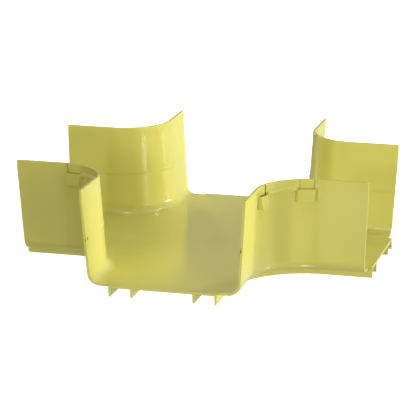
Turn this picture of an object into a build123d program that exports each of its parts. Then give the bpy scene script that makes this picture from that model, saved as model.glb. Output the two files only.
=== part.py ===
from build123d import *
import os
from math import asin, atan2, cos, degrees, radians, sin, tan

# Four-way cross for a fibre raceway: a flat floor with four open arms, and four curved corner
# walls that each run from one arm's end round to the next. It is moulded in one piece.
# Millimetres. X and Y run along the arms, Z is up, and the origin is the middle of the plane
# that the ribs under the floor stand on. Angles are in degrees.

# Channel
rim_width = 159.0        # clear width of an arm between the rims
arm_length = 180.0       # from the middle of the cross to an arm's end
wall_height = 95.2       # from the underside of the floor to the rim
corner_radius = 50.8     # bend radius of a corner wall's channel side, at the rim
thickness = 2.4          # floor and walls, square to their faces
root_radius = 9.6        # inside radius between wall and floor
wall_lean = 4.0          # outward lean of the walls
band_height = 9.3        # steeper band below the rim
band_lean = 2.3
end_lean = 3.0           # the walls' ends draw back towards the floor by this angle

# Ribs under the floor
rib_depth = 9.1
outer_rib_offset = 52.8  # from an arm's middle line to the middle of a rib
inner_rib_offset = 31.0
rib_root = 2.4           # width of a rib at the floor
rib_tip = 1.3            # width at its lower edge

# Bead along the channel side of each wall
bead_level = 45.9        # middle of the bead above the underside of the floor
bead_base = 2.9
bead_crest = 1.5
bead_rise = 0.55
bead_end_gap = 4.9       # from the bead's end to the wall's end

# Latch loops, two outside each corner wall, and the pocket in the rim above each
loop_top = 86.0          # above the underside of the floor
loop_height = 12.7
loop_near = 1.6          # from the start of the bend to the loop's outer side, at its top
loop_far = 18.4          # from the start of the bend to the inner edge of its front
loop_foot = 23.0         # from the start of the bend to the foot of its splayed inner side
loop_proud = 4.2         # from the wall to the loop's front, at its outer side
loop_turn = 12.0         # the front turns this far with the bend
loop_draft = 5.5         # slant of the outer sides of loop and pocket
loop_front = 1.5         # thickness of the loop's front
loop_corner = 0.6        # rounding of the front's inner upright edge
side_near = 2.4          # thickness of the loop's outer side
side_far = 1.3           # thickness of its inner side at the front
pocket_depth = 1.25      # at the rim
pocket_far = 18.7        # from the start of the bend to the inner edge of slot and pocket at the wall

# Ledge that joins the two loops of a corner
ledge_top = 87.9         # above the underside of the floor
ledge_height = 4.0
ledge_slope = 2.0        # height of the sloped upper part
ledge_proud = 1.7
ledge_end = 20.2         # from the start of the bend to where the ledge runs into the loop's side

overrun = 5.0            # cutters pass the faces they cut by this much

# Levels
floor_under = rib_depth
floor_over = floor_under + thickness
rim_level = floor_under + wall_height
band_level = rim_level - band_height
root_level = floor_over + root_radius

# Every corner wall bends about an upright axis outside the channel. A place on the wall is given
# by its distance from that axis and by the angle past the start of the bend.
axis_place = rim_width / 2 + corner_radius
half_bend = degrees(atan2(axis_place, axis_place))  # a corner is alike on both sides of its diagonal
lean = radians(wall_lean)
level_wall = thickness / cos(lean)
band_set = band_height * tan(radians(band_lean))


def wall_radius(level):
    """Distance of the wall's channel side from the corner axis at a level."""
    if level > band_level:
        return corner_radius + (rim_level - level) * tan(radians(band_lean))
    return corner_radius + band_set + (band_level - level) * tan(lean)


def outer_radius(level):
    """Distance of the wall's outer side from the corner axis at a level."""
    return wall_radius(level) - level_wall


def bend_plane(angle):
    """Upright plane through the corner axis: its X points at the wall, its Y points up."""
    turn = radians(angle)
    return Plane(
        origin=(axis_place, axis_place, 0),
        x_dir=(-cos(turn), -sin(turn), 0),
        z_dir=(-sin(turn), cos(turn), 0),
    )


def bend_point(radius, angle):
    """Place seen from above, at a distance from the corner axis and an angle of the bend."""
    turn = radians(angle)
    return (axis_place - radius * cos(turn), axis_place - radius * sin(turn))


def angle_at(radius, run):
    """Angle of the bend at which a circle has gone a given run past the start."""
    return degrees(asin(run / radius))


corner_axis = Axis((axis_place, axis_place, 0), (0, 0, 1))

# The root arcs share one middle, so that floor and wall keep one thickness round the bend.
root_middle = wall_radius(root_level) + root_radius / cos(lean)
outer_root = root_radius + thickness
foot_place = axis_place - root_middle
tongue_half = outer_rib_offset + rib_root / 2

# Levels and runs of the latch loops
loop_high = floor_under + loop_top
loop_low = loop_high - loop_height
embed_radius = outer_radius(loop_low) + level_wall / 2
pocket_radius = outer_radius(rim_level) + pocket_depth
ledge_high = floor_under + ledge_top
ledge_low = ledge_high - ledge_height
ledge_start = angle_at(outer_radius(loop_high), ledge_end)


def near_run(level):
    """How far past the start of the bend the loop's slanted outer side lies at a level."""
    return loop_near + (loop_high - level) * tan(radians(loop_draft))


def front_point(run, depth=0):
    """Place seen from above on the loop's front, or behind it by a depth across the arm."""
    first = axis_place - outer_radius(loop_high) + loop_proud
    across = first + (run - loop_near) * tan(radians(loop_turn)) - depth
    return (across, axis_place - run)


def circle_point(radius, run):
    """Place seen from above where a circle about the corner axis has gone a given run."""
    return bend_point(radius, angle_at(radius, run))


with BuildPart() as cross_fitting:
    # One eighth is modelled, half an arm and half a corner, and mirrored three times.

    # Wall and root, with the two ribs beside them, in the plane where the bend starts
    with BuildSketch(bend_plane(0)) as wall_section:
        with BuildLine():
            inner_band = (wall_radius(band_level), band_level)
            outer_band = (outer_radius(band_level), band_level)
            inner_arc = CenterArc((root_middle, root_level), root_radius, 180 + wall_lean, 90 - wall_lean)
            outer_arc = CenterArc((root_middle, root_level), outer_root, 180 + wall_lean, 90 - wall_lean)
            Polyline(
                inner_arc @ 0,
                inner_band,
                (corner_radius, rim_level),
                (outer_radius(rim_level), rim_level),
                outer_band,
                outer_arc @ 0,
            )
            Line(inner_arc @ 1, outer_arc @ 1)
        make_face()
        for offset in (outer_rib_offset, inner_rib_offset):
            middle = axis_place - offset
            with BuildLine():
                Polyline(
                    (middle - rib_root / 2, floor_under + thickness / 2),
                    (middle - rib_root / 2, floor_under),
                    (middle - rib_tip / 2, 0),
                    (middle + rib_tip / 2, 0),
                    (middle + rib_root / 2, floor_under),
                    (middle + rib_root / 2, floor_under + thickness / 2),
                    close=True,
                )
            make_face()
    extrude(amount=arm_length - axis_place)
    revolve(wall_section.sketch, axis=corner_axis, revolution_arc=half_bend)

    # Floor, out to the tongue's end
    with BuildSketch(Plane.XY.offset(floor_under)):
        with BuildLine():
            edge = CenterArc((axis_place, axis_place), root_middle, 180, half_bend)
            Polyline(edge @ 0, (foot_place, arm_length), (0, arm_length), (0, 0), edge @ 1)
        make_face()
    extrude(amount=thickness)

    # Bead on the channel side
    bead_place = floor_under + bead_level
    bead_end = arm_length - (band_level - bead_place) * tan(radians(end_lean)) - bead_end_gap
    with BuildSketch(bend_plane(0)) as bead_section:
        base_low, base_high = bead_place - bead_base / 2, bead_place + bead_base / 2
        crest_low, crest_high = bead_place - bead_crest / 2, bead_place + bead_crest / 2
        with BuildLine():
            Polyline(
                (wall_radius(base_low) - thickness / 2, base_low),
                (wall_radius(base_low), base_low),
                (wall_radius(crest_low) + bead_rise, crest_low),
                (wall_radius(crest_high) + bead_rise, crest_high),
                (wall_radius(base_high), base_high),
                (wall_radius(base_high) - thickness / 2, base_high),
                close=True,
            )
        make_face()
    extrude(amount=bead_end - axis_place)
    revolve(bead_section.sketch, axis=corner_axis, revolution_arc=half_bend)

    # Latch loop: its outer side slants, so it is lofted from its lower to its upper outline.
    for level in (loop_low, loop_high):
        with BuildSketch(Plane.XY.offset(level)) as loop_outline:
            with BuildLine():
                start = circle_point(embed_radius, near_run(level))
                finish = circle_point(embed_radius, loop_foot)
                RadiusArc(start, finish, embed_radius)
                Polyline(finish, front_point(loop_far), front_point(near_run(level)), start)
            make_face()
            fillet(loop_outline.vertices().sort_by_distance(front_point(loop_far))[0], loop_corner)
    loft(ruled=True)

    # Ledge from the loop to the middle of the corner
    with BuildSketch(bend_plane(ledge_start)) as ledge_section:
        knee = ledge_high - ledge_slope
        with BuildLine():
            Polyline(
                (outer_radius(ledge_high) + level_wall / 2, ledge_high),
                (outer_radius(ledge_high), ledge_high),
                (outer_radius(knee) - ledge_proud, knee),
                (outer_radius(ledge_low) - ledge_proud, ledge_low),
                (outer_radius(ledge_low) + level_wall / 2, ledge_low),
                close=True,
            )
        make_face()
    revolve(axis=corner_axis, revolution_arc=half_bend - ledge_start)

    # Slot down through the loop, and the pocket that runs from it up through the rim
    far_run = loop_far - side_far
    front_depth = loop_front / cos(radians(loop_turn))
    for level in (loop_low - overrun, rim_level + overrun):
        with BuildSketch(Plane.XY.offset(level)):
            run = near_run(level) + side_near
            with BuildLine():
                start = circle_point(pocket_radius, run)
                finish = circle_point(pocket_radius, pocket_far)
                RadiusArc(start, finish, pocket_radius)
                Polyline(finish, front_point(far_run, front_depth), front_point(run, front_depth), start)
            make_face()
    loft(ruled=True, mode=Mode.SUBTRACT)

    # The arm's end is drawn back on both sides of the tongue.
    with BuildSketch(Plane.YZ.offset(tongue_half)):
        low = floor_under - overrun
        with BuildLine():
            Polyline(
                (arm_length, rim_level + overrun),
                (arm_length, band_level),
                (arm_length - (band_level - low) * tan(radians(end_lean)), low),
                (arm_length + overrun, low),
                (arm_length + overrun, rim_level + overrun),
                close=True,
            )
        make_face()
    extrude(amount=axis_place - tongue_half, mode=Mode.SUBTRACT)

    mirror(about=Plane(origin=(0, 0, 0), z_dir=(1, -1, 0)))
    mirror(about=Plane.YZ)
    mirror(about=Plane.XZ)

cross_fitting.part.label = "cross_fitting"
os.makedirs("parts", exist_ok=True)
export_step(cross_fitting.part, "parts/cross_fitting.step")
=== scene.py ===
from math import cos, radians, sin

import bmesh
import bpy
from mathutils import Matrix, Vector

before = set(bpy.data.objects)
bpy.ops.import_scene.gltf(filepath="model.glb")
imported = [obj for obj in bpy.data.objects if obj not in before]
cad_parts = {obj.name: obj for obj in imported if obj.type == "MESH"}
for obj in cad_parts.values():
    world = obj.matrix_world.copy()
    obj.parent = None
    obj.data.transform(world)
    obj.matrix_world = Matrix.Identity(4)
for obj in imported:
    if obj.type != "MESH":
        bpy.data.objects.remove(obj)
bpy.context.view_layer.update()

# The cross fitting: one injection moulding in yellow plastic, semi-gloss, as it leaves the mould.
# The mould gives it sharp but not knife-edged corners, a faint orange peel on the wide walls, and
# shallow sink lines on the floor above the ribs. Nothing is fixed to it.


class Links:
    """A socket of a node tree that takes part in sums."""

    def __init__(self, tree, socket=None):
        self.tree, self.socket = tree, socket

    def node(self, kind, settings=None, out=0, **values):
        """One node with its settings and the values or links of its sockets."""
        made = self.tree.nodes.new(kind)
        for key, value in (settings or {}).items():
            setattr(made, key, value)
        for key, value in values.items():
            place = int(key[1:]) if key[1:].isdigit() else key.replace("_", " ")
            if isinstance(value, Links):
                self.tree.links.new(value.socket, made.inputs[place])
            else:
                made.inputs[place].default_value = value
        return Links(self.tree, made.outputs[out])

    def beside(self, out):
        """Another output of the node that this socket is on."""
        return Links(self.tree, self.socket.node.outputs[out])

    def math(self, operation, first, second=0.0):
        return self.node("ShaderNodeMath", {"operation": operation}, i0=first, i1=second)

    def mixed(self, kind, share, first, second):
        """Between two colours (RGBA) or two vectors (VECTOR), by a share of the second."""
        out, place = {"RGBA": (2, 6), "VECTOR": (1, 4)}[kind]
        ends = {"i%d" % place: first, "i%d" % (place + 1): second}
        return self.node("ShaderNodeMix", {"data_type": kind}, out, i0=share, **ends)

    def __add__(self, other):
        return self.math("ADD", self, other)

    __radd__ = __add__

    def __sub__(self, other):
        return self.math("SUBTRACT", self, other)

    def __rsub__(self, other):
        return self.math("SUBTRACT", other, self)

    def __mul__(self, other):
        return self.math("MULTIPLY", self, other)

    __rmul__ = __mul__

    def __truediv__(self, other):
        return self.math("DIVIDE", self, other)

    def __rtruediv__(self, other):
        return self.math("DIVIDE", other, self)

    def __abs__(self):
        return self.math("ABSOLUTE", self)

    def held(self, low=0.0, high=1.0):
        """Kept between two values."""
        return self.node("ShaderNodeClamp", i0=self, i1=low, i2=high)


plastic = bpy.data.materials.new("yellow_moulding")
plastic.use_nodes = True
start = Links(plastic.node_tree)
shader = plastic.node_tree.nodes["Principled BSDF"]
place = start.node("ShaderNodeTexCoord", out=3)

# Pigment: broad clouds, and faint upright streaks where the melt filled the walls
yellow = (0.80, 0.745, 0.18, 1.0)
dense_yellow = (0.77, 0.712, 0.163, 1.0)
cloud_share, streak_share = 1.2, 0.5
cloud = start.node("ShaderNodeTexNoise", Vector=place, Scale=13.0, Detail=3.0, Roughness=0.5)
stretched = start.node("ShaderNodeMapping", Vector=place, Scale=(70.0, 70.0, 9.0))
streak = start.node("ShaderNodeTexNoise", Vector=stretched, Scale=1.0, Detail=2.0, Roughness=0.6)
dense = ((cloud - 0.5) * cloud_share + (streak - 0.5) * streak_share + 0.5).held()
body = start.mixed("RGBA", dense, yellow, dense_yellow)

# Corners: painted highlight. They are painted lighter to stand in for the bright lines that light
# makes shining through the thin corners. The paint lies where the rounded normal and the flat one part
# company.
corner_highlight_yellow = (0.85, 0.80, 0.24, 1.0)
corner_round, corner_gain, corner_highlight_share = 0.00025, 6.0, 0.6
rounded = start.node("ShaderNodeBevel", {"samples": 6}, Radius=corner_round)
flat = start.node("ShaderNodeNewGeometry", out=1)
together = start.node("ShaderNodeVectorMath", {"operation": "DOT_PRODUCT"}, out=1, i0=rounded, i1=flat)
corner = ((1.0 - together) * corner_gain).held()
# painted highlight: the corners take the lighter yellow
corner_highlighted = start.mixed("RGBA", corner * corner_highlight_share, body, corner_highlight_yellow)

# Crevices: painted shade. The slots and the inner corners of the loops take little light, so their
# colour is darkened by how closed in they are.
crevice_shade_yellow = (0.30, 0.26, 0.06, 1.0)
crevice_reach, crevice_start, crevice_gain = 0.0035, 0.3, 2.2
open_air = start.node("ShaderNodeAmbientOcclusion", {"samples": 8}, out=1, Distance=crevice_reach)
crevice_shade = ((1.0 - open_air - crevice_start) * crevice_gain).held()
# painted shade: the crevices take the dark yellow
colour = start.mixed("RGBA", crevice_shade, corner_highlighted, crevice_shade_yellow)

# Finish: polished by the mould, a little duller in patches and on the corners
polish, patchy, corner_dullness = 0.17, 0.05, 0.06
haze = start.node("ShaderNodeTexNoise", Vector=place, Scale=55.0, Detail=4.0, Roughness=0.6)
dull = polish + (haze - 0.5) * patchy + corner * corner_dullness

# Distance from the nearest corner axis, which the walls, the beads and the ribs all follow
corner_axis = 0.1303
across = start.node("ShaderNodeSeparateXYZ", Vector=place)
along, level = across.beside(1), across.beside(2)
beyond_x = start.math("MAXIMUM", corner_axis - abs(across), 0.0)
beyond_y = start.math("MAXIMUM", corner_axis - abs(along), 0.0)
from_axis = start.math("SQRT", beyond_x * beyond_x + beyond_y * beyond_y)

# Bead: its edges are rounder than the other corners, and it is polished away where the walls of
# the front and back arms run straight. There the normal is the plain wall's.
bead_level, bead_half, bead_round = 0.0550, 0.0018, 0.0008
channel_side = 0.0530                        # the outer side lies nearer to the axis than this
fade_start, fade_run = 0.1263, 0.010
wall_lean = radians(4.0)
at_level = start.math("LESS_THAN", abs(level - bead_level), bead_half)
on_bead = at_level * start.math("GREATER_THAN", from_axis, channel_side)
round_bead = start.node("ShaderNodeBevel", {"samples": 6}, Radius=bead_round)
softened = start.mixed("VECTOR", on_bead, rounded, round_bead)
inward = start.math("SIGN", across) * -cos(wall_lean)
wall_normal = start.node("ShaderNodeCombineXYZ", X=inward, Z=sin(wall_lean))
straight = ((abs(along) - fade_start) / fade_run).held()
faired = start.mixed("VECTOR", straight * on_bead, softened, wall_normal)

# Relief: orange peel all over, and sink lines on the floor above the ribs
peel_height, sink_height, sink_width = 0.000010, 0.000015, 0.0022
rib_lines = (0.0775, 0.0993)                 # distances of the ribs from the corner axes
floor_low, floor_high = 0.0110, 0.0120
sinks = 0.0
for rib_line in rib_lines:
    off = (from_axis - rib_line) / sink_width
    sinks = 1.0 / (off * off + 1.0) + sinks
above_under = start.math("GREATER_THAN", level, floor_low)
on_floor = above_under * start.math("LESS_THAN", level, floor_high)
peel = start.node("ShaderNodeTexNoise", Vector=place, Scale=190.0, Detail=2.0, Roughness=0.5)
relief = peel * peel_height - sinks * on_floor * sink_height
bumped = start.node("ShaderNodeBump", Strength=1.0, Distance=1.0, Height=relief, Normal=faired)

for link, name in ((colour, "Base Color"), (dull, "Roughness"), (bumped, "Normal")):
    plastic.node_tree.links.new(link.socket, shader.inputs[name])
shader.inputs["IOR"].default_value = 1.5

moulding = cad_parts["cross_fitting"]
moulding.material_slots[0].material = plastic

# The floor of the studio: a plain white sheet on a light table, turned up all round far outside
# the view. It glows as bright as the walls, so that the fitting throws no shadow on it. It is no
# part of the fitting.
floor_reach, floor_rise = 4.0, 3.0
sheet = bmesh.new()
bmesh.ops.create_circle(sheet, cap_ends=True, segments=96, radius=floor_reach)
outline = [edge for edge in sheet.edges if edge.is_boundary]
turned_up = bmesh.ops.extrude_edge_only(sheet, edges=outline)["geom"]
upper = [part for part in turned_up if isinstance(part, bmesh.types.BMVert)]
bmesh.ops.translate(sheet, vec=(0, 0, floor_rise), verts=upper)
floor_mesh = bpy.data.meshes.new("studio_floor")
sheet.to_mesh(floor_mesh)
sheet.free()
floor = bpy.data.objects.new("studio_floor", floor_mesh)
bpy.context.collection.objects.link(floor)
paper = bpy.data.materials.new("pale_paper")
paper.use_nodes = True
paper_shader = paper.node_tree.nodes["Principled BSDF"]
paper_shader.inputs["Base Color"].default_value = (0.9, 0.9, 0.9, 1.0)
paper_shader.inputs["Roughness"].default_value = 0.9
paper_shader.inputs["Emission Color"].default_value = (1.0, 1.0, 1.0, 1.0)
paper_shader.inputs["Emission Strength"].default_value = 1.0
floor.data.materials.append(paper)
floor.visible_shadow = floor.visible_diffuse = floor.visible_glossy = False

# The light of the studio: pale walls behind and on the right, and rows of soft lamps, most of them
# low down, so that upright edges throw short soft shades along the bends.
behind_strength, right_strength = 0.341, 0.145
surround = bpy.data.worlds.new("surround")
bpy.context.scene.world = surround
surround.use_nodes = True
sky = Links(surround.node_tree)
way = sky.node("ShaderNodeSeparateXYZ", Vector=sky.node("ShaderNodeTexCoord"))
behind = sky.math("GREATER_THAN", way.beside(1), 0.0)
rightward = sky.math("GREATER_THAN", way, 0.0)
glow = behind * behind_strength + rightward * right_strength
walls = surround.node_tree.nodes["Background"]
walls.inputs["Color"].default_value = (1.0, 1.0, 1.0, 1.0)
surround.node_tree.links.new(glow.socket, walls.inputs["Strength"])

# Each lamp's place round the table in degrees from the front towards the right, its height in
# degrees, how wide it is seen from the table, its strength, and whether the plastic mirrors it
for azimuth, elevation, width, strength, mirrored in (
    (0, -88, 12, 0.285, True),
    (0, 88, 12, 0.203, True),
    (15, 0, 6, 0.169, False),
    (30, 0, 6, 0.140, False),
    (45, -8, 6, 0.210, False),
    (45, 8, 6, 0.244, False),
    (45, 20, 6, 0.093, False),
    (45, 55, 8, 0.133, True),
    (60, 0, 5, 0.652, True),
    (105, -8, 6, 0.283, False),
    (112, 0, 6, 0.363, True),
    (118, 0, 9, 0.950, True),
    (118, 8, 6, 0.361, False),
    (120, -45, 8, 0.133, True),
    (124, 0, 3, 0.150, True),
    (135, 55, 8, 0.293, True),
    (180, 55, 8, 0.163, True),
    (210, 20, 6, 0.476, False),
    (300, 20, 6, 0.171, False),
    (330, 0, 6, 0.208, False),
    (342, 55, 8, 0.126, True),
    (345, -22, 8, 0.017, True),
    (344.6, 0, 3, 0.200, False),
    (345, 8, 6, 0.280, False),
    (345, 35, 6, 0.141, False),
):
    data = bpy.data.lights.new("lamp", "SUN")
    data.energy = strength
    data.angle = radians(width)
    lamp = bpy.data.objects.new("lamp", data)
    turn, rise = radians(azimuth), radians(elevation)
    direction = Vector((sin(turn) * cos(rise), -cos(turn) * cos(rise), sin(rise)))
    lamp.rotation_euler = direction.to_track_quat("Z", "Y").to_euler()
    lamp.visible_glossy = mirrored
    bpy.context.collection.objects.link(lamp)

# The camera stands well back, to the right of the front arm, and looks down along it.
camera_place = Vector((0.56143, -2.09595, 0.6330))
yaw, pitch, roll = radians(14.393), radians(15.106), radians(0.153)
focal_px, frame_px = 2187.04, 416
principal_px = (24.92, -1.83)
sensor = 36.0

forward = Vector((-sin(yaw) * cos(pitch), cos(yaw) * cos(pitch), -sin(pitch)))
sideways = Vector((cos(yaw), sin(yaw), 0))
upward = sideways.cross(forward)
right = sideways * cos(roll) + upward * sin(roll)
up = upward * cos(roll) - sideways * sin(roll)

lens = bpy.data.cameras.new("camera")
lens.sensor_width = sensor
lens.lens = focal_px / frame_px * sensor
lens.shift_x = -principal_px[0] / frame_px
lens.shift_y = principal_px[1] / frame_px
lens.clip_start = 0.1
lens.clip_end = 50.0
camera = bpy.data.objects.new("camera", lens)
bpy.context.collection.objects.link(camera)
axes = Matrix((right, up, -forward)).transposed().to_4x4()
camera.matrix_world = Matrix.Translation(camera_place) @ axes
bpy.context.scene.camera = camera
bpy.context.scene.view_settings.view_transform = "Standard"
